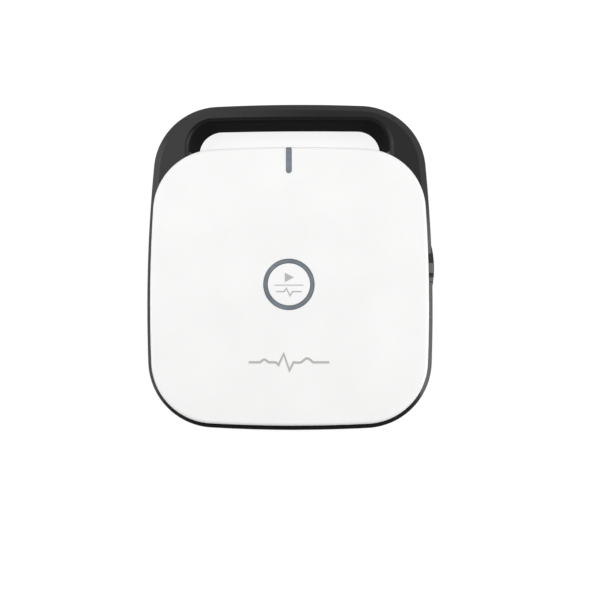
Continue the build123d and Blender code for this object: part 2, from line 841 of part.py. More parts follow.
socket_mouth_y = flat_socket_y - flat_socket_width / 2
cable_low_z = main_top_z + flat_socket_height / 2
cable_high_z = front_board_z - flat_socket_height / 2


def flat_socket(height, rise):
    slot_z = cable_low_z if rise is Align.MIN else cable_high_z
    with BuildPart(level(height)) as socket:
        with Locations((cable_x, flat_socket_y)):
            Box(flat_socket_length, flat_socket_width, flat_socket_height,
                align=(Align.CENTER, Align.CENTER, rise))
        with Locations((cable_x, socket_mouth_y, slot_z - height)):
            Box(cable_width + 2 * fit_gap, flat_slot_depth, cable_thickness + 2 * fit_gap,
                align=(Align.CENTER, Align.MIN, Align.CENTER), mode=Mode.SUBTRACT)
    return socket


board_flat_socket = flat_socket(main_top_z, Align.MIN)
front_flat_socket = flat_socket(front_board_z, Align.MAX)

with BuildPart() as flat_cable:
    cable_tip_y = socket_mouth_y + flat_slot_depth - fit_gap
    cable_turn_y = socket_mouth_y - cable_run
    cable_turn_radius = (cable_high_z - cable_low_z) / 2
    with BuildSketch(right_wall(cable_x - cable_width / 2, 0, 0)):
        with BuildLine() as cable_path:
            Line((cable_tip_y, cable_low_z), (cable_turn_y, cable_low_z))
            ThreePointArc((cable_turn_y, cable_low_z),
                          (cable_turn_y - cable_turn_radius, (cable_low_z + cable_high_z) / 2),
                          (cable_turn_y, cable_high_z))
            Line((cable_turn_y, cable_high_z), (cable_tip_y, cable_high_z))
        trace(line_width=cable_thickness)
    extrude(amount=cable_width)

# Main board

socket_back_y = flange_y + d_flange_thickness + d_body_length
board_lower_y = socket_back_y + solder_cup_length - board_edge_reach

with BuildPart() as main_board:
    with BuildSketch(level(main_board_z)) as main_plan:
        add(case_plan(main_board_margin))
        with Locations((0, main_board_high)):
            Rectangle(2 * main_board_half, main_board_high + case_lower_reach,
                      align=(Align.CENTER, Align.MAX), mode=Mode.INTERSECT)
        fillet(main_plan.vertices().sort_by(Axis.Y)[-2:], main_board_radius)
        with Locations((0, board_lower_y)):
            Rectangle(2 * (bay_half + bay_wall + running_gap), case_lower_reach,
                      align=(Align.CENTER, Align.MAX), mode=Mode.SUBTRACT)
        with Locations(*case_screw_spots):
            Circle(board_notch_radius, mode=Mode.SUBTRACT)
        with Locations(*main_screw_spots):
            Circle(small_screw_radius + hole_gap, mode=Mode.SUBTRACT)
    extrude(amount=board_thickness)

with BuildPart(level(main_top_z)) as main_board_screws:
    with Locations(*[Location((x, y, 0), (180, 0, 0)) for x, y in main_screw_spots]):
        add(pan_screw(small_screw_radius, main_screw_length, small_head_radius, small_head_height))

with BuildPart(level(main_top_z)) as processor_chip:
    with Locations(processor_place):
        Box(processor_size, processor_size, processor_height, align=on_top)
        lead_count = int((processor_size - 2 * lead_pitch) / lead_pitch)
        with GridLocations(lead_pitch, 0, lead_count, 1):
            Box(lead_width, processor_size + 2 * lead_reach, lead_height, align=on_top)
        with GridLocations(0, lead_pitch, 1, lead_count):
            Box(processor_size + 2 * lead_reach, lead_width, lead_height, align=on_top)

with BuildPart(level(main_top_z)) as memory_chips:
    with Locations(memory_place):
        with GridLocations(0, memory_pitch, 1, 2):
            Box(memory_length, memory_width, memory_height, align=on_top)

with BuildPart(level(main_top_z)) as shield_can:
    with Locations(shield_place):
        Box(shield_length, shield_width, shield_height, align=on_top)
        fillet(shield_can.edges().group_by(Axis.Z)[-1], shield_sheet)
        Box(shield_length - 2 * shield_sheet, shield_width - 2 * shield_sheet, shield_height - shield_sheet,
            align=on_top, mode=Mode.SUBTRACT)
        with GridLocations(shield_hole_pitch, shield_hole_pitch, shield_hole_columns, shield_hole_rows):
            Cylinder(shield_hole_radius, shield_height, align=on_top, mode=Mode.SUBTRACT)

with BuildPart(level(main_top_z)) as converter_chip:
    with Locations(shield_place):
        Box(converter_size, converter_size, converter_height, align=on_top)

with BuildPart(level(main_top_z)) as wireless_module:
    with Locations(radio_place):
        Box(radio_length, radio_width, radio_board, align=on_top)
        with Locations((0, 0, radio_board)):
            Box(radio_can_length, radio_can_width, radio_can_height, align=on_top)

with BuildPart(level(main_top_z)) as isolation_transformer:
    with Locations(transformer_place):
        Box(transformer_length, transformer_width, transformer_flange, align=on_top)
        Cylinder(transformer_coil_radius, transformer_height, align=on_top)
        with Locations((0, 0, transformer_flange)):
            Box(transformer_length, transformer_core_width, transformer_height - transformer_flange,
                align=on_top)

with BuildPart(level(main_top_z)) as power_coils:
    with Locations(coil_place):
        with GridLocations(0, coil_pitch, 1, 2):
            Box(coil_size, coil_size, coil_height, align=on_top)
    chamfer(power_coils.edges().filter_by(Axis.Z), coil_edge)

with BuildPart(level(main_top_z)) as electrolytic_capacitors:
    with Locations(capacitor_place):
        with GridLocations(capacitor_pitch, capacitor_pitch, 2, 2):
            Box(capacitor_base, capacitor_base, capacitor_base_height, align=on_top)
            Cylinder(capacitor_radius, capacitor_height, align=on_top)

with BuildPart(level(main_top_z)) as crystal:
    with Locations(crystal_place):
        Box(crystal_length, crystal_width, crystal_height, align=on_top)
    fillet(crystal.edges().filter_by(Axis.Z), crystal_width / 3)

with BuildPart(level(main_top_z)) as buzzer:
    with Locations(buzzer_place):
        Cylinder(buzzer_radius, buzzer_height, align=on_top)
        with Locations((0, 0, buzzer_height)):
            Cylinder(buzzer_hole_radius, buzzer_height / 2, align=below, mode=Mode.SUBTRACT)

with BuildPart(level(main_top_z)) as input_resistors:
    with Locations((0, resistor_inset - case_lower_reach)):
        with GridLocations(resistor_pitch, 0, resistor_count, 1):
            Box(resistor_width, resistor_length, resistor_height, align=on_top)

with BuildPart(level(main_top_z)) as small_capacitors:
    for place, (columns, rows) in zip(small_cap_places, small_cap_grids):
        with Locations(place):
            with GridLocations(small_cap_pitch, small_cap_pitch, columns, rows):
                Box(small_cap_length, small_cap_width, small_cap_height, align=on_top)

# Patient cable socket

d_inner_width = d_width - 2 * d_sheet
d_inner_height = d_height - 2 * d_sheet
contact_rows = ((contact_row_gap / 2, contact_count), (-contact_row_gap / 2, contact_count - 1))

with BuildPart() as patient_socket_shell:
    with BuildSketch(lower_wall(flange_y, socket_z)):
        Rectangle(d_flange_width, d_flange_height)
    extrude(amount=-d_flange_thickness)
    extrude(d_outline(lower_wall(flange_y, socket_z), d_width, d_height, d_radius), amount=d_shell_length)
    extrude(d_outline(lower_wall(flange_y + d_flange_thickness, socket_z), d_inner_width, d_inner_height,
                      d_radius - d_sheet), amount=d_flange_thickness + d_shell_length, mode=Mode.SUBTRACT)
    with BuildSketch(lower_wall(flange_y, socket_z)):
        with GridLocations(jack_spacing, 0, 2, 1):
            Circle(jack_stud_radius + hole_gap)
    extrude(amount=-d_flange_thickness, mode=Mode.SUBTRACT)

with BuildPart() as patient_socket_insulator:
    extrude(d_outline(lower_wall(flange_y + d_flange_thickness, socket_z), d_inner_width - fit_gap,
                      d_inner_height - fit_gap, d_radius - d_sheet),
            amount=d_flange_thickness + d_shell_length - d_face_recess)
    with BuildSketch(lower_wall(flange_y + d_flange_thickness, socket_z)):
        Rectangle(d_body_width, d_body_height)
    extrude(amount=-d_body_length)
    with BuildSketch(lower_wall(flange_y - d_shell_length + d_face_recess, socket_z)):
        for row_height, row_count in contact_rows:
            with Locations((0, row_height)):
                with GridLocations(contact_pitch, 0, row_count, 1):
                    Circle(contact_radius)
    extrude(amount=-contact_hole_depth, mode=Mode.SUBTRACT)

with BuildPart() as patient_socket_contacts:
    with BuildSketch(lower_wall(socket_back_y, socket_z)):
        for row_height, row_count in contact_rows:
            with Locations((0, row_height)):
                with GridLocations(contact_pitch, 0, row_count, 1):
                    Circle(solder_cup_radius)
    extrude(amount=-solder_cup_length)

with BuildPart() as jack_nuts:
    with BuildSketch(lower_wall(panel_y, socket_z)):
        with GridLocations(jack_spacing, 0, 2, 1):
            RegularPolygon(jack_across_flats / 2, 6, major_radius=False)
    extrude(amount=jack_nut_length)
    with BuildSketch(lower_wall(panel_y, socket_z)):
        with GridLocations(jack_spacing, 0, 2, 1):
            Circle(jack_stud_radius)
    extrude(amount=-jack_stud_length)
    with BuildSketch(lower_wall(panel_y - jack_nut_length, socket_z)):
        with GridLocations(jack_spacing, 0, 2, 1):
            Circle(jack_bore_radius)
    extrude(amount=-jack_bore_depth, mode=Mode.SUBTRACT)

# USB socket

with BuildPart() as usb_socket_shell:
    with BuildSketch(lower_wall(-usb_reach, usb_z)):
        with Locations((usb_x, 0)):
            SlotOverall(usb_width, usb_height)
            SlotOverall(usb_width - 2 * usb_sheet, usb_height - 2 * usb_sheet, mode=Mode.SUBTRACT)
    extrude(amount=-usb_length)

with BuildPart() as usb_socket_tongue:
    with BuildSketch(lower_wall(usb_length - usb_back - usb_reach, usb_z)):
        with Locations((usb_x, 0)):
            SlotOverall(usb_width - 2 * usb_sheet - fit_gap, usb_height - 2 * usb_sheet - fit_gap)
    extrude(amount=-usb_back)
    with BuildSketch(lower_wall(usb_length - usb_back - usb_reach, usb_z)):
        with Locations((usb_x, 0)):
            Rectangle(usb_tongue_width, usb_tongue_thickness)
    extrude(amount=usb_length - usb_back - usb_tongue_recess)

# Power slider, its bezel and the switch behind it


# A block whose outer face bulges to the right
def bulged_block(height, rise, inner_x, outer_x, inset, y, length):
    with BuildPart() as block:
        with BuildSketch(level(height)):
            with BuildLine():
                low = (outer_x - inset, y - length / 2)
                high = (outer_x - inset, y + length / 2)
                ThreePointArc(low, (outer_x, y), high)
                Polyline(high, (inner_x, y + length / 2), (inner_x, y - length / 2), low)
            make_face()
        extrude(amount=rise)
    return block.part


with BuildPart() as slider_bezel:
    add(bulged_block(bezel_top_z, -bezel_height, bezel_inner_x, bezel_outer_x, bezel_bulge + bezel_end_inset,
                     bezel_y, bezel_length))
    fillet(slider_bezel.edges().filter_by(Axis.X), bezel_corner_radius)

with BuildPart() as power_slider:
    add(bulged_block(slider_ledge_z, slider_top_z - slider_ledge_z, slider_inner_x, slider_outer_x,
                     slider_end_inset, slider_y, slider_length))
    outer_edges = power_slider.faces().sort_by(Axis.X)[-1].edges()
    fillet(outer_edges, slider_edge_radius)
    with BuildSketch(level(slider_top_z)):
        with Locations((slider_outer_x, slider_y + slider_groove_offset)):
            Rectangle(2 * slider_depth, slider_groove_width)
    extrude(amount=-slider_groove_depth, mode=Mode.SUBTRACT)
    with BuildSketch(level(slider_foot_z)):
        with Locations((slider_inner_x, slider_y)):
            Rectangle(bezel_inner_x - running_gap - slider_inner_x, slider_length,
                      align=(Align.MIN, Align.CENTER))
    extrude(amount=slider_ledge_z - slider_foot_z)
    with BuildSketch(level(slider_stem_z)):
        with Locations((slider_inner_x, slider_y)):
            Rectangle(slider_stem_length, slider_stem_width, align=(Align.MAX, Align.CENTER))
    extrude(amount=slider_stem_thickness)

switch_right_x = main_board_half + switch_edge_gap

with BuildPart() as power_switch_body:
    with BuildSketch(level(main_top_z)):
        with Locations((switch_right_x, window_y)):
            Rectangle(switch_depth, switch_length, align=(Align.MAX, Align.CENTER))
    extrude(amount=switch_height)
    with BuildSketch(level(slider_stem_z - running_gap)):
        with Locations((switch_right_x, window_y)):
            Rectangle(lever_depth + running_gap, slider_stem_width + slider_travel + 2 * running_gap,
                      align=(Align.MAX, Align.CENTER))
    extrude(amount=slider_stem_thickness + 2 * running_gap, mode=Mode.SUBTRACT)

with BuildPart() as power_switch_lever:
    with BuildSketch(level(slider_stem_z)):
        with Locations((lever_tip_x, slider_y)):
            Rectangle(lever_tip_x - switch_right_x + lever_depth, slider_stem_width,
                      align=(Align.MAX, Align.CENTER))
    extrude(amount=slider_stem_thickness)

# Battery, its wires and its plug

with BuildPart(level(floor_z)) as battery_foam_pad:
    with Locations((0, battery_y)):
        Box(cell_length - 2 * foam_margin, cell_width - 2 * foam_margin, foam_thickness, align=on_top)

with BuildPart(level(cell_z)) as battery_cell:
    with Locations((0, battery_y)):
        Box(cell_length, cell_width, cell_thickness, align=on_top)
    fillet(battery_cell.edges().filter_by(Axis.Y), cell_edge_radius)

with BuildPart(level(cell_z + protection_lift)) as battery_protection_board:
    with Locations((-cell_length / 2, wire_y)):
        Box(protection_depth, protection_length, protection_height,
            align=(Align.MAX, Align.CENTER, Align.MIN))

plug_z = main_top_z + header_height / 2
wire_low_z = cell_z + protection_lift + protection_height / 2


def battery_wire(y):
    with BuildPart() as wire:
        with BuildLine() as route:
            FilletPolyline((-plug_reach, cover_centre_y + y, plug_z),
                           (-wire_reach, cover_centre_y + y, plug_z),
                           (-wire_reach, cover_centre_y + y, wire_low_z),
                           (-cell_length / 2 - protection_depth, cover_centre_y + y, wire_low_z),
                           radius=wire_bend_radius)
        with BuildSketch(Plane(origin=route.line @ 0, z_dir=route.line % 0)):
            Circle(wire_radius)
        sweep()
    return wire


battery_wire_red = battery_wire(wire_y + wire_pitch / 2)
battery_wire_black = battery_wire(wire_y - wire_pitch / 2)

with BuildPart(level(plug_z)) as battery_plug:
    with Locations((-plug_reach, wire_y)):
        Box(plug_length, plug_width, plug_height, align=(Align.MIN, Align.CENTER, Align.CENTER))

with BuildPart(level(main_top_z)) as battery_header:
    with Locations((-header_reach, wire_y)):
        Box(header_length, header_width, header_height, align=(Align.MIN, Align.CENTER, Align.MIN))
    with Locations((-header_reach, wire_y, header_height / 2)):
        Box(plug_length - plug_reach + header_reach + fit_gap, plug_width + 2 * fit_gap,
            plug_height + 2 * fit_gap, align=(Align.MIN, Align.CENTER, Align.CENTER), mode=Mode.SUBTRACT)

pieces = {
    "front_cover": front_cover,
    "upper_case": upper_case,
    "rear_case": rear_case,
    "case_screws": case_screws,
    "cover_screws": cover_screws,
    "rubber_feet": rubber_feet,
    "rating_label": rating_label,
    "light_ring": light_ring,
    "start_key": start_key,
    "status_light_bar": status_light_bar,
    "slider_bezel": slider_bezel,
    "power_slider": power_slider,
    "power_switch_body": power_switch_body,
    "power_switch_lever": power_switch_lever,
    "front_board": front_board,
    "front_board_screws": front_board_screws,
    "key_switch_body": key_switch_body,
    "key_switch_plunger": key_switch_plunger,
    "ring_lamps": ring_lamps,
    "bar_lamps": bar_lamps,
    "front_flat_socket": front_flat_socket,
    "board_flat_socket": board_flat_socket,
    "flat_cable": flat_cable,
    "main_board": main_board,
    "main_board_screws": main_board_screws,
    "processor_chip": processor_chip,
    "memory_chips": memory_chips,
    "shield_can": shield_can,
    "converter_chip": converter_chip,
    "wireless_module": wireless_module,
    "isolation_transformer": isolation_transformer,
    "power_coils": power_coils,
    "electrolytic_capacitors": electrolytic_capacitors,
    "crystal": crystal,
    "buzzer": buzzer,
    "input_resistors": input_resistors,
    "small_capacitors": small_capacitors,
    "patient_socket_shell": patient_socket_shell,
    "patient_socket_insulator": patient_socket_insulator,
    "patient_socket_contacts": patient_socket_contacts,
    "jack_nuts": jack_nuts,
    "usb_socket_shell": usb_socket_shell,
    "usb_socket_tongue": usb_socket_tongue,
    "battery_cell": battery_cell,
    "battery_foam_pad": battery_foam_pad,
    "battery_protection_board": battery_protection_board,
    "battery_wire_red": battery_wire_red,
    "battery_wire_black": battery_wire_black,
    "battery_plug": battery_plug,
    "battery_header": battery_header,
}

os.makedirs("parts", exist_ok=True)
for label, piece in pieces.items():
    piece.part.label = label
    export_step(piece.part, f"parts/{label}.step")
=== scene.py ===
import bmesh
import bpy
import json
import math
from mathutils import Matrix, Vector


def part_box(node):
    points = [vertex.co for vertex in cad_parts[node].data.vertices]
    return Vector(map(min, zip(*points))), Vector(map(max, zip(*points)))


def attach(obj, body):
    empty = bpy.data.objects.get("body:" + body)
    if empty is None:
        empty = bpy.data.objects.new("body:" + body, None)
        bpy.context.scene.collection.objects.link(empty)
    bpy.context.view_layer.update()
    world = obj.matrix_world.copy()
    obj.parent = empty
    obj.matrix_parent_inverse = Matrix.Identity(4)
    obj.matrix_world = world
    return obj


# Hand-sized ECG recorder on its back: satin white cover, grainy dark grey case with the handle, grey
# light guides. Lengths below are millimetres unless a note says otherwise, and mm turns them to metres.
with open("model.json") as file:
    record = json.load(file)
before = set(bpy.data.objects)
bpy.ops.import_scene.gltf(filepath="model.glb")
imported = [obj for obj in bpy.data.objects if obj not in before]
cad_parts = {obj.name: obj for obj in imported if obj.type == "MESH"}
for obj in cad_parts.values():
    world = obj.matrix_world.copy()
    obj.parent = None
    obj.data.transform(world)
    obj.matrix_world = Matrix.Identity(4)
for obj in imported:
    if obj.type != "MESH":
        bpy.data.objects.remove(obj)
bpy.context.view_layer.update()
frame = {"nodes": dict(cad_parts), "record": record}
nodes = frame["nodes"]
mm = 0.001
print("frame loaded with", len(nodes), "pieces")


# Camera, lamps and floor

camera = {
    "position": (4.35, -23.28, 328.91),
    "tilt": -3.968,                     # degrees, as yaw and roll are; all at 0 would look straight down
    "yaw": -1.226,
    "roll": 0.023,
    "lens": 42.0,
    "sensor": 36.0,
    "shift": (0.02636, -0.05178),       # the photograph is a crop that isn't centred
    "near": 10.0,                       # anything closer to the lens isn't drawn
}


def placeCamera():
    data = bpy.data.cameras.new("frontCamera")
    data.lens = camera["lens"]
    data.sensor_width = camera["sensor"]
    data.shift_x, data.shift_y = camera["shift"]
    data.clip_start = camera["near"] * mm
    turn = (Matrix.Rotation(math.radians(-camera["yaw"]), 4, "Y")
            @ Matrix.Rotation(math.radians(-camera["tilt"]), 4, "X")
            @ Matrix.Rotation(math.radians(-camera["roll"]), 4, "Z"))
    holder = bpy.data.objects.new("frontCamera", data)
    holder.matrix_world = Matrix.Translation(Vector(camera["position"]) * mm) @ turn
    bpy.context.scene.collection.objects.link(holder)
    bpy.context.scene.camera = holder


lamps = {                               # place and size in metres, glow as the eye would see the box
    "overheadLeft": {"place": (-0.49, 0.30, 1.00), "size": (0.74, 0.85), "glow": 2.25},
    "overheadRight": {"place": (0.46, 0.28, 1.00), "size": (0.68, 0.80), "glow": 1.00},
    "leftBox": {"place": (-1.00, 0.05, 0.26), "size": (1.30, 0.50), "glow": 1.6},
    "rightStrip": {"place": (0.50, -0.10, 0.055), "size": (0.42, 0.11), "glow": 4.2},
    "rightBox": {"place": (0.50, 0.02, 0.36), "size": (0.46, 0.34), "glow": 2.2},
}
cards = {                               # cards that show in reflections alone: place and size in metres
    "ceilingCard": {"place": (0.0, 0.32, 1.30), "size": (3.2, 2.84), "glow": 0.16},
    "frontCard": {"place": (0.0, -1.20, 0.45), "size": (3.2, 1.1), "glow": 0.02},
    "backCard": {"place": (0.0, 1.30, 0.45), "size": (3.2, 1.1), "glow": 0.30},
}
# The room's light falls on the object. Its backdrop and the floor's lift show only to the camera, gloss
# and glass.
room = {"light": 0.49, "tone": "#FAF9F8", "backdrop": "#FFFFFF"}
floor = {"halfWidth": 3.0, "tone": "#898988", "lift": 0.86}       # half width in metres


def faceOrigin(holder, place):
    holder.location = place
    holder.rotation_euler = (-Vector(place)).to_track_quat("-Z", "Y").to_euler()
    bpy.context.scene.collection.objects.link(holder)


def placeLamps():
    for name, lamp in lamps.items():
        data = bpy.data.lights.new(name, "AREA")
        data.shape = "RECTANGLE"
        data.size, data.size_y = lamp["size"]
        data.energy = lamp["glow"] * math.pi * data.size * data.size_y
        faceOrigin(bpy.data.objects.new(name, data), lamp["place"])


# Node helpers. Sockets that share a name are given by number: in a Mix node 0 is the share, 2 and 3 are
# its plain values and 6 and 7 its colours.

def hexToLinear(code):                  # along the curve that sRGB itself uses
    channels = [int(code[start:start + 2], 16) / 255 for start in (1, 3, 5)]
    return (*[c / 12.92 if c <= 0.04045 else ((c + 0.055) / 1.055) ** 2.4 for c in channels], 1.0)


def perMetre(size):                     # noise scale that makes features this many millimetres wide
    return 1.0 / (size * mm)


def addNode(tree, kind, settings=None, links=None):
    node = tree.nodes.new(kind)
    for key, value in (settings or {}).items():
        if isinstance(key, int) or key in node.inputs:
            node.inputs[key].default_value = value
        else:
            setattr(node, key, value)
    for key, source in (links or {}).items():
        tree.links.new(source, node.inputs[key])
    return node


def emptyMaterial(name):
    material = bpy.data.materials.new(name)
    material.use_nodes = True
    material.node_tree.nodes.clear()
    return material, material.node_tree


def startMaterial(name, shaderSettings):
    material, tree = emptyMaterial(name)
    shader = addNode(tree, "ShaderNodeBsdfPrincipled", shaderSettings)
    addNode(tree, "ShaderNodeOutputMaterial", links={"Surface": shader.outputs["BSDF"]})
    place = addNode(tree, "ShaderNodeTexCoord").outputs["Object"]
    return material, tree, shader, place


patternRange = {"From Min": 0.3, "From Max": 0.7}     # where nearly all of a noise's values lie


# The cloud shifts the tone, and the grain sets gloss and relief. Where a patch's mask is 1, its own tone
# and roughness take over.
def finishSurface(tree, shader, cloud, grain, facts, patches=()):
    shift = addNode(tree, "ShaderNodeMapRange", patternRange, {"Value": cloud}).outputs["Result"]
    first, second = (hexToLinear(code) for code in facts["tones"])
    blend = {"data_type": "RGBA", 6: first, 7: second}
    tone = addNode(tree, "ShaderNodeMix", blend, {0: shift}).outputs[2]
    smooth, rough = facts["roughness"]
    glossRange = {**patternRange, "To Min": smooth, "To Max": rough}
    gloss = addNode(tree, "ShaderNodeMapRange", glossRange, {"Value": grain}).outputs["Result"]
    for mask, patch in patches:
        covered = {"data_type": "RGBA", 7: hexToLinear(patch["tone"])}
        tone = addNode(tree, "ShaderNodeMix", covered, {0: mask, 6: tone}).outputs[2]
        gloss = addNode(tree, "ShaderNodeMix", {3: patch["roughness"]}, {0: mask, 2: gloss}).outputs[0]
    relief = addNode(tree, "ShaderNodeBump", {"Distance": facts["depth"] * mm}, {"Height": grain})
    tree.links.new(tone, shader.inputs["Base Color"])
    tree.links.new(gloss, shader.inputs["Roughness"])
    tree.links.new(relief.outputs["Normal"], shader.inputs["Normal"])


# Plastics. The moulded ones are alike but for tone, gloss and grain, so one function mixes them. Their
# real grain is finer than a pixel and is drawn a few times as coarse, so that it shows.

mouldedPlastics = {
    # satin ABS from a polished mould: nearly flat, a soft wide highlight, faint flow marks
    "satinWhiteAbs": {"tones": ("#F0F0F0", "#F4F4F4"), "roughness": (0.36, 0.42), "grain": 0.35,
                      "depth": 0.002, "flow": 24.0, "specular": 0.5},
    # the key's cap, a shade cooler and smoother than the cover
    "satinKeyAbs": {"tones": ("#F1F1F2", "#F5F5F6"), "roughness": (0.30, 0.36), "grain": 0.30,
                    "depth": 0.002, "flow": 9.0, "specular": 0.5},
    # ABS from a spark-eroded mould: a fine even grain that breaks up a dim highlight
    "sparkGrainAbs": {"tones": ("#101012", "#141416"), "roughness": (0.20, 0.27), "grain": 0.45,
                      "depth": 0.006, "flow": 18.0, "specular": 0.25},
    # slider, mid grey with a slightly finer grain
    "sliderAbs": {"tones": ("#63625F", "#6C6B68"), "roughness": (0.38, 0.46), "grain": 0.35,
                  "depth": 0.006, "flow": 6.0, "specular": 0.5},
    # black acetal of the bezel and the switch parts: waxy, with a soft full highlight
    "blackAcetal": {"tones": ("#0E0E10", "#141416"), "roughness": (0.30, 0.38), "grain": 0.50,
                    "depth": 0.003, "flow": 7.0, "specular": 0.5},
    # glass-filled black resin of chips and connectors: dull
    "filledBlackResin": {"tones": ("#17181A", "#1F2022"), "roughness": (0.55, 0.65), "grain": 0.25,
                         "depth": 0.008, "flow": 4.0, "specular": 0.5},
    # natural nylon of small connectors: creamy, a little waxy
    "ivoryNylon": {"tones": ("#DDD6C2", "#E6E0CE"), "roughness": (0.34, 0.42), "grain": 0.40,
                   "depth": 0.003, "flow": 5.0, "specular": 0.5},
}


# The walls of the finger opening, within these bounds: painted shade darkens them, a rougher finish dulls
# them
gripWallShade = {"half": 46.8, "low": 50.5, "high": 65.6, "top": 22.3, "fade": 1.5, "tone": "#050506",
             "roughness": 0.85}


def gripShadeMask(tree, place):            # 1 where shade is painted on those walls, 0 elsewhere, fading out over their lip
    x, y, z = addNode(tree, "ShaderNodeSeparateXYZ", links={0: place}).outputs
    low, high, top = (gripWallShade[side] * mm for side in ("low", "high", "top"))
    sideways = {"operation": "COMPARE", 1: 0.0, 2: gripWallShade["half"] * mm}
    lengthways = {"operation": "COMPARE", 1: (high + low) / 2, 2: (high - low) / 2}
    downwards = {"From Min": top - gripWallShade["fade"] * mm, "From Max": top, "To Min": 1.0, "To Max": 0.0}
    across = addNode(tree, "ShaderNodeMath", sideways, {0: x}).outputs["Value"]
    along = addNode(tree, "ShaderNodeMath", lengthways, {0: y}).outputs["Value"]
    deep = addNode(tree, "ShaderNodeMapRange", downwards, {"Value": z}).outputs["Result"]
    both = {"operation": "MULTIPLY"}
    plan = addNode(tree, "ShaderNodeMath", both, {0: across, 1: along}).outputs["Value"]
    return addNode(tree, "ShaderNodeMath", both, {0: plan, 1: deep}).outputs["Value"]


# The floor of the slider's thumb groove, this far below its top, where little light reaches: painted shade
grooveShade = {"depth": 1.7, "edge": 0.4, "tone": "#2C2E2D", "roughness": 0.5}


def grooveShadeMask(tree, place):          # 1 on that floor, where the shade is painted, 0 above it
    z = addNode(tree, "ShaderNodeSeparateXYZ", links={0: place}).outputs[2]
    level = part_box("power_slider")[1].z - grooveShade["depth"] * mm
    edge = grooveShade["edge"] * mm
    downwards = {"From Min": level, "From Max": level + edge, "To Min": 1.0, "To Max": 0.0}
    return addNode(tree, "ShaderNodeMapRange", downwards, {"Value": z}).outputs["Result"]


def mouldedPlastic(name, patchMask=None, patch=None):
    facts = mouldedPlastics[name]
    settings = {"IOR": 1.53, "Specular IOR Level": facts["specular"]}     # ABS, and the others are near it
    material, tree, shader, place = startMaterial(name, settings)
    flowMarks = {"Scale": perMetre(facts["flow"]), "Detail": 3.0}
    mouldGrain = {"Scale": perMetre(facts["grain"]), "Detail": 2.0, "Roughness": 0.6}
    flow = addNode(tree, "ShaderNodeTexNoise", flowMarks, {"Vector": place}).outputs["Fac"]
    grain = addNode(tree, "ShaderNodeTexNoise", mouldGrain, {"Vector": place}).outputs["Fac"]
    patches = [(patchMask(tree, place), patch)] if patch else []
    finishSurface(tree, shader, flow, grain, facts, patches)
    return material


frostedGuide = {
    "tones": ("#636C76", "#778089"), "roughness": (0.24, 0.34), "frost": 0.30, "cloud": 5.0,
    "depth": 0.003, "shader": {"IOR": 1.58, "Coat Weight": 0.35, "Coat Roughness": 0.12},
}


def frostedPolycarbonate():             # unlit light guide: grey, cloudy inside, with a glossy skin
    material, tree, shader, place = startMaterial("frostedPolycarbonate", frostedGuide["shader"])
    haze = {"Scale": perMetre(frostedGuide["cloud"]), "Detail": 3.0}
    frosting = {"Scale": perMetre(frostedGuide["frost"]), "Detail": 2.0}
    cloud = addNode(tree, "ShaderNodeTexNoise", haze, {"Vector": place}).outputs["Fac"]
    frost = addNode(tree, "ShaderNodeTexNoise", frosting, {"Vector": place}).outputs["Fac"]
    finishSurface(tree, shader, cloud, frost, frostedGuide)
    return material


printInks = {
    # grey marks on the cover and the key: pale, no shine
    "greyScreenInk": {"tones": ("#AFAEAC", "#B8B7B5"), "roughness": (0.50, 0.60), "mesh": 0.12,
                      "depth": 0.004},
    # the form on the label: thin, charcoal rather than black
    "blackLabelInk": {"tones": ("#3B3C3E", "#47484A"), "roughness": (0.45, 0.55), "mesh": 0.12,
                      "depth": 0.002},
}


def screenPrint(name):                  # matt ink through a fine mesh, whose weave shows as faint dots
    facts = printInks[name]
    material, tree, shader, place = startMaterial(name, {"IOR": 1.48})
    threads = {"Scale": perMetre(facts["mesh"]), "Detail": 2.0}
    weave = addNode(tree, "ShaderNodeTexNoise", threads, {"Vector": place}).outputs["Fac"]
    finishSurface(tree, shader, weave, weave, facts)
    return material


siliconeFoot = {
    "tones": ("#1B1B1B", "#242424"), "roughness": (0.68, 0.82), "bloom": 3.0, "grain": 0.6,
    "depth": 0.02, "shader": {"IOR": 1.43, "Sheen Weight": 0.15, "Sheen Roughness": 0.6},
}


def siliconeRubber():                   # moulded foot: dull, with a dusty bloom
    material, tree, shader, place = startMaterial("siliconeRubber", siliconeFoot["shader"])
    dust = {"Scale": perMetre(siliconeFoot["bloom"]), "Detail": 4.0}
    mould = {"Scale": perMetre(siliconeFoot["grain"]), "Detail": 2.0}
    bloom = addNode(tree, "ShaderNodeTexNoise", dust, {"Vector": place}).outputs["Fac"]
    grain = addNode(tree, "ShaderNodeTexNoise", mould, {"Vector": place}).outputs["Fac"]
    finishSurface(tree, shader, bloom, grain, siliconeFoot)
    return material


labelStock = {
    "tones": ("#C6C7C6", "#D2D3D2"), "roughness": (0.34, 0.42), "fibre": 0.5, "depth": 0.004,
    "shader": {"Metallic": 0.25},
}


def polyesterLabel():                   # pale silvery film, with the case's grain showing through
    material, tree, shader, place = startMaterial("polyesterLabel", labelStock["shader"])
    backing = {"Scale": perMetre(labelStock["fibre"]), "Detail": 3.0}
    fibre = addNode(tree, "ShaderNodeTexNoise", backing, {"Vector": place}).outputs["Fac"]
    finishSurface(tree, shader, fibre, fibre, labelStock)
    return material


# Metals keep the default IOR. Fine marks run along one axis, so the pattern is stretched along it, and
# it is drawn coarser than the real marks are, so that it shows.

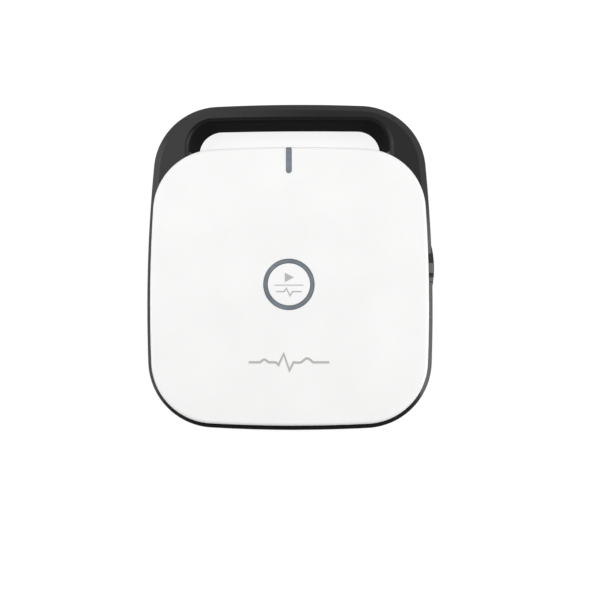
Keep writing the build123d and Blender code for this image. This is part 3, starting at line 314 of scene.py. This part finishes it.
metals = {
    # bright nickel over drawn steel: close fine lines and a little haze
    "nickelPlatedSteel": {"tones": ("#BDBBB4", "#CFCDC7"), "roughness": (0.22, 0.34), "mark": 0.12,
                          "stretch": (1.0, 1.0, 0.15), "depth": 0.002},
    # tinned sheet: rolled along its length, greyer, soft highlight
    "tinnedSheet": {"tones": ("#B4B5B4", "#C6C7C6"), "roughness": (0.28, 0.40), "mark": 0.15,
                    "stretch": (0.08, 1.0, 1.0), "depth": 0.002},
    # thin gold over brass contacts: warm and bright
    "goldFlash": {"tones": ("#D6AE5C", "#E3C073"), "roughness": (0.20, 0.30), "mark": 0.20,
                  "stretch": (1.0, 0.2, 1.0), "depth": 0.001},
    # drawn aluminium can with faint draw lines
    "drawnAluminium": {"tones": ("#C2C3C5", "#D0D1D3"), "roughness": (0.26, 0.36), "mark": 0.20,
                       "stretch": (1.0, 1.0, 0.1), "depth": 0.002},
    # battery pouch: dull embossed foil, the same all ways
    "laminatedFoil": {"tones": ("#A9ABAE", "#BCBEC1"), "roughness": (0.32, 0.48), "mark": 1.20,
                      "stretch": (1.0, 1.0, 1.0), "depth": 0.050},
}


def platedMetal(name):
    facts = metals[name]
    material, tree, shader, place = startMaterial(name, {"Metallic": 1.0})
    stretching = {"operation": "MULTIPLY", 1: facts["stretch"]}
    drawn = addNode(tree, "ShaderNodeVectorMath", stretching, {0: place}).outputs["Vector"]
    scratches = {"Scale": perMetre(facts["mark"]), "Detail": 3.0}
    marks = addNode(tree, "ShaderNodeTexNoise", scratches, {"Vector": drawn}).outputs["Fac"]
    finishSurface(tree, shader, marks, marks, facts)
    return material


boardFinish = {                         # track and trackShare are parts of the pitch and of the track
    "tones": ("#0C4A2A", "#126238"), "roughness": (0.26, 0.32), "pitch": 3.8, "track": 0.18,
    "trackShare": 0.34, "depth": 0.02, "shader": {"IOR": 1.55},
}


def maskedGlassEpoxy():                 # green mask over glass cloth: tracks stand up a little, paler
    material, tree, shader, place = startMaterial("maskedGlassEpoxy", boardFinish["shader"])
    grid = {"Scale": perMetre(boardFinish["pitch"]), "feature": "F1", "distance": "MANHATTAN"}
    cells = addNode(tree, "ShaderNodeTexVoronoi", grid, {"Vector": place}).outputs["Distance"]
    width = boardFinish["track"]
    folding = {"operation": "PINGPONG", 1: width}
    folded = addNode(tree, "ShaderNodeMath", folding, {0: cells}).outputs["Value"]
    inner = width * boardFinish["trackShare"]
    edges = {"From Min": inner, "From Max": width, "To Min": 1.0, "To Max": 0.0}
    tracks = addNode(tree, "ShaderNodeMapRange", edges, {"Value": folded}).outputs["Result"]
    finishSurface(tree, shader, tracks, tracks, boardFinish)
    return material


smallFinishes = {
    # pale yellow resin of the lamps' windows: smooth and glossy
    "lampResin": {"tones": ("#E8DFA2", "#F2ECC0"), "roughness": (0.18, 0.26), "size": 0.4,
                  "depth": 0.004},
    # white film of the flat cable, faintly uneven
    "ribbonFilm": {"tones": ("#D6D8DC", "#E2E4E7"), "roughness": (0.30, 0.38), "size": 0.5,
                   "depth": 0.010},
    # yellow polyester tape wound over the transformer: shiny, with slight ripples
    "windingTape": {"tones": ("#C99C22", "#D9AE38"), "roughness": (0.30, 0.42), "size": 1.5,
                    "depth": 0.020},
    # pressed ferrite powder: dark and dull, faintly grainy
    "pressedFerrite": {"tones": ("#2A2A2C", "#38383B"), "roughness": (0.58, 0.72), "size": 0.3,
                       "depth": 0.020},
    # fired tan ceramic of small capacitors: fine and nearly matt
    "firedCeramic": {"tones": ("#8A6A48", "#9B7A56"), "roughness": (0.40, 0.52), "size": 0.3,
                     "depth": 0.006},
    # closed-cell foam under the battery: matt, with small soft bumps
    "closedCellFoam": {"tones": ("#2C2C2C", "#3A3A3A"), "roughness": (0.82, 0.92), "size": 0.7,
                       "depth": 0.080},
    # PVC wire sleeves: smooth, with a narrow shine
    "redPvcSleeve": {"tones": ("#A0141A", "#B11C22"), "roughness": (0.28, 0.36), "size": 0.8,
                     "depth": 0.004},
    "blackPvcSleeve": {"tones": ("#151517", "#1D1D1F"), "roughness": (0.28, 0.36), "size": 0.8,
                       "depth": 0.004},
}


def smallFinish(name):
    facts = smallFinishes[name]
    material, tree, shader, place = startMaterial(name, {"IOR": 1.5})
    speckle = {"Scale": perMetre(facts["size"]), "Detail": 3.0}
    grain = addNode(tree, "ShaderNodeTexNoise", speckle, {"Vector": place}).outputs["Fac"]
    finishSurface(tree, shader, grain, grain, facts)
    return material


slotMaterials = {
    "white_cover_plastic": mouldedPlastic("satinWhiteAbs"),
    "white_key_plastic": mouldedPlastic("satinKeyAbs"),
    # the case, with painted shade on the walls of the finger opening
    "grey_case_plastic": mouldedPlastic("sparkGrainAbs", gripShadeMask, gripWallShade),
    # the slider, with painted shade on the floor of its thumb groove
    "slider_plastic": mouldedPlastic("sliderAbs", grooveShadeMask, grooveShade),
    "black_trim_plastic": mouldedPlastic("blackAcetal"),
    "black_moulded_plastic": mouldedPlastic("filledBlackResin"),
    "ivory_plastic": mouldedPlastic("ivoryNylon"),
    "light_guide_plastic": frostedPolycarbonate(),
    "foot_rubber": siliconeRubber(),
    "label_film": polyesterLabel(),
    "plated_screw_steel": platedMetal("nickelPlatedSteel"),
    "stamped_steel": platedMetal("tinnedSheet"),
    "gold_plated_brass": platedMetal("goldFlash"),
    "capacitor_aluminium": platedMetal("drawnAluminium"),
    "battery_pouch": platedMetal("laminatedFoil"),
    "green_board": maskedGlassEpoxy(),
    "lamp_resin": smallFinish("lampResin"),
    "cable_film": smallFinish("ribbonFilm"),
    "transformer_tape": smallFinish("windingTape"),
    "ferrite": smallFinish("pressedFerrite"),
    "ceramic": smallFinish("firedCeramic"),
    "foam": smallFinish("closedCellFoam"),
    "red_wire_sleeve": smallFinish("redPvcSleeve"),
    "black_wire_sleeve": smallFinish("blackPvcSleeve"),
}


def dressNodes():
    for part in frame["record"]["subparts"]:
        mesh = nodes[part["node"]].data
        mesh.materials.clear()
        mesh.materials.append(slotMaterials[part["material_slot"]])


def rectangle(halfX, halfY):            # its corners
    return [(-halfX, -halfY, 0), (halfX, -halfY, 0), (halfX, halfY, 0), (-halfX, halfY, 0)]


# Printed marks

coverPlace = Vector((0.0, -9.235, 0.0))     # middle of the key on the cover
ink = {
    "thickness": 0.03,
    "sink": 0.01,
    "mitre": 2.0,                           # a corner's tip reaches this many half widths at most
    "weld": 0.0005,                         # corners nearer than this become one
    "cover": screenPrint("greyScreenInk"),
    "label": screenPrint("blackLabelInk"),
}


def strokeOutline(points, width):           # a flat band of one width along a line of points
    half = width / 2
    sides = []
    for index, point in enumerate(points):
        before = (point - points[index - 1]).normalized() if index else (points[1] - point).normalized()
        after = (points[index + 1] - point).normalized() if index < len(points) - 1 else before
        along = (before + after).normalized()
        reach = half / max(along.dot(before), 1 / ink["mitre"])
        across = Vector((-along.y, along.x)) * reach
        sides.append((point + across, point - across))
    return sides


def bandShapes(points, width):              # that band as four-cornered shapes, one for each run
    sides = strokeOutline(points, width)
    return [(sides[i][1], sides[i + 1][1], sides[i + 1][0], sides[i][0]) for i in range(len(sides) - 1)]


def smoothPoints(corners, steps):           # Catmull-Rom through the corners
    points = []
    padded = [corners[0], *corners, corners[-1]]
    for start in range(len(corners) - 1):
        a, b, c, d = (Vector(p) for p in padded[start:start + 4])
        for step in range(steps):
            t = step / steps
            points.append(0.5 * (2 * b + (c - a) * t + (2 * a - 5 * b + 4 * c - d) * t * t
                                 + (3 * b - a - 3 * c + d) * t ** 3))
    return points + [Vector(corners[-1])]


# Each shape is one polygon, and faces up or, with facing at -1, down
def inkPiece(name, shapes, base, body, material, facing=1):
    mesh = bpy.data.meshes.new(name)
    build = bmesh.new()
    low, high = sorted((base.z - facing * ink["sink"], base.z + facing * ink["thickness"]))
    for polygon in shapes:
        bottom, top = ([build.verts.new(((base.x + p.x) * mm, (base.y + p.y) * mm, level * mm))
                        for p in polygon] for level in (low, high))
        build.faces.new(top)
        build.faces.new(bottom[::-1])
        for index in range(len(polygon)):
            after = (index + 1) % len(polygon)
            build.faces.new((bottom[index], bottom[after], top[after], top[index]))
    bmesh.ops.remove_doubles(build, verts=build.verts, dist=ink["weld"] * mm)
    bmesh.ops.recalc_face_normals(build, faces=build.faces)
    build.to_mesh(mesh)
    build.free()
    piece = bpy.data.objects.new(name, mesh)
    bpy.context.scene.collection.objects.link(piece)
    mesh.materials.append(material)
    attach(piece, body)


pulseMark = {                               # a heart trace on the cover, below the key
    "middle": (0.0, -32.9),
    "line": ((-17.0, 0.0), (-12.2, 0.0), (-10.4, 1.15), (-8.6, 0.0), (-5.6, 0.0), (-4.4, -1.1),
             (-2.2, 3.5), (0.2, -3.4), (1.9, 0.0), (5.0, 0.0), (7.6, 1.7), (10.2, 0.0), (17.0, 0.0)),
    "rounded": ((1, 4), (8, 12)),           # stretches that swell smoothly, as the slow waves do
    "width": 1.0,
    "steps": 6,
}


def printPulseMark():
    corners = [Vector(point) for point in pulseMark["line"]]
    points = list(corners)
    for first, last in reversed(pulseMark["rounded"]):
        points[first:last] = smoothPoints(corners[first:last], pulseMark["steps"])
    base = coverPlace + Vector((*pulseMark["middle"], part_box("front_cover")[1].z / mm))
    inkPiece("pulse_mark", bandShapes(points, pulseMark["width"]), base, "case", ink["cover"])


keyLegend = {                               # plain start sign over a line and a short trace
    "dividerHalf": 6.15,
    "dividerY": -0.35,
    "stroke": 0.42,
    "triangle": ((-1.75, 0.95), (2.15, 2.95), (-1.75, 4.95)),
    "trace": ((-5.4, -3.1), (-2.0, -3.1), (-1.1, -1.7), (0.5, -4.9), (1.5, -3.1), (5.4, -3.1)),
    "traceStroke": 0.567,
}


def printKeyLegend():
    base = coverPlace + Vector((0.0, 0.0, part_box("start_key")[1].z / mm))
    half, height = keyLegend["dividerHalf"], keyLegend["dividerY"]
    shapes = bandShapes([Vector((-half, height)), Vector((half, height))], keyLegend["stroke"])
    shapes.append([Vector(point) for point in keyLegend["triangle"]])
    shapes += bandShapes([Vector(point) for point in keyLegend["trace"]], keyLegend["traceStroke"])
    inkPiece("key_legend", shapes, base, "key", ink["cover"])


labelForm = {                               # plain printed form on the label: frame, rules and boxes
    "inset": 2.0,
    "stroke": 0.40,
    "rules": (0.30, 0.46, 0.62),            # places of the rules as shares of the frame's height
    "boxes": 4,                             # empty boxes in the row past the last rule
    "boxSide": 5.0,
    "boxGap": 2.2,
}


def printLabelForm():
    low, high = (Vector(corner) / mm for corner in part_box("rating_label"))
    base = Vector(((low.x + high.x) / 2, (low.y + high.y) / 2, low.z))
    halfX = (high.x - low.x) / 2 - labelForm["inset"]
    halfY = (high.y - low.y) / 2 - labelForm["inset"]
    border = [Vector(corner[:2]) for corner in rectangle(halfX, halfY)]
    lines = [(border[index - 1], border[index]) for index in range(len(border))]
    for share in labelForm["rules"]:
        height = halfY - 2 * halfY * share
        lines.append((Vector((-halfX, height)), Vector((halfX, height))))
    side, step = labelForm["boxSide"], labelForm["boxSide"] + labelForm["boxGap"]
    middle = -halfY * labelForm["rules"][-1]    # halfway from the last rule to the frame
    for count in range(labelForm["boxes"]):
        across = halfX - labelForm["boxGap"] - side / 2 - count * step
        square = rectangle(side / 2, side / 2)
        box = [Vector((across + corner[0], middle + corner[1])) for corner in square]
        lines += [(box[index - 1], box[index]) for index in range(len(box))]
    stroke = labelForm["stroke"]
    shapes = []
    for start, end in lines:
        along = (end - start).normalized() * stroke / 2
        shapes += bandShapes([start - along, end + along], stroke)
    inkPiece("label_form", shapes, base, "case", ink["label"], facing=-1)


# Floor and room

def backgroundRays(tree):               # 1 for what sees the pale background: camera, gloss and glass
    rays = addNode(tree, "ShaderNodeLightPath").outputs
    cameraOrGloss = {0: rays["Is Camera Ray"], 1: rays["Is Glossy Ray"]}
    either = addNode(tree, "ShaderNodeMath", {"operation": "MAXIMUM"}, cameraOrGloss).outputs["Value"]
    orGlass = {0: either, 1: rays["Is Transmission Ray"]}
    return addNode(tree, "ShaderNodeMath", {"operation": "MAXIMUM"}, orGlass).outputs["Value"]


def flatSheet(name, halfX, halfY, material):
    mesh = bpy.data.meshes.new(name)
    mesh.from_pydata(rectangle(halfX, halfY), [], [(0, 1, 2, 3)])
    mesh.materials.append(material)
    return bpy.data.objects.new(name, mesh)


def hangCards():
    for name, card in cards.items():
        material, tree = emptyMaterial(name + "Felt")
        shade = {"Color": hexToLinear(room["tone"]), "Strength": card["glow"]}
        felt = addNode(tree, "ShaderNodeEmission", shade)
        addNode(tree, "ShaderNodeOutputMaterial", links={"Surface": felt.outputs["Emission"]})
        wide, tall = card["size"]
        sheet = flatSheet(name, wide / 2, tall / 2, material)
        faceOrigin(sheet, card["place"])
        sheet.visible_camera = False
        sheet.visible_diffuse = False
        sheet.visible_shadow = False


def layFloor():
    material, tree = emptyMaterial("whitePaper")
    paper = addNode(tree, "ShaderNodeBsdfDiffuse", {"Color": hexToLinear(floor["tone"])})
    share = {"operation": "MULTIPLY", 1: floor["lift"]}
    lift = addNode(tree, "ShaderNodeMath", share, {0: backgroundRays(tree)})
    glow = addNode(tree, "ShaderNodeEmission", links={"Strength": lift.outputs["Value"]})
    paperAndGlow = {0: paper.outputs["BSDF"], 1: glow.outputs["Emission"]}
    both = addNode(tree, "ShaderNodeAddShader", links=paperAndGlow)
    addNode(tree, "ShaderNodeOutputMaterial", links={"Surface": both.outputs["Shader"]})
    sheet = flatSheet("paper_floor", floor["halfWidth"], floor["halfWidth"], material)
    bpy.context.scene.collection.objects.link(sheet)


def fillRoom():
    world = bpy.data.worlds.new("paleRoom")
    bpy.context.scene.world = world
    world.use_nodes = True
    tree = world.node_tree
    tree.nodes.clear()
    seen = backgroundRays(tree)
    levels = {"To Min": room["light"], "To Max": 1.0}     # 1 shows the backdrop as it is written
    strength = addNode(tree, "ShaderNodeMapRange", levels, {"Value": seen})
    tones = {"data_type": "RGBA", 6: hexToLinear(room["tone"]), 7: hexToLinear(room["backdrop"])}
    tone = addNode(tree, "ShaderNodeMix", tones, {0: seen})
    toneAndStrength = {"Color": tone.outputs[2], "Strength": strength.outputs["Result"]}
    light = addNode(tree, "ShaderNodeBackground", links=toneAndStrength)
    addNode(tree, "ShaderNodeOutputWorld", links={"Surface": light.outputs["Background"]})


bpy.context.scene.view_settings.view_transform = "Standard"
placeCamera()
placeLamps()
fillRoom()
hangCards()
layFloor()
print("camera, lamps, cards and floor placed")
dressNodes()
print("materials on", len(nodes), "pieces")
printPulseMark()
printKeyLegend()
printLabelForm()
print("marks printed")
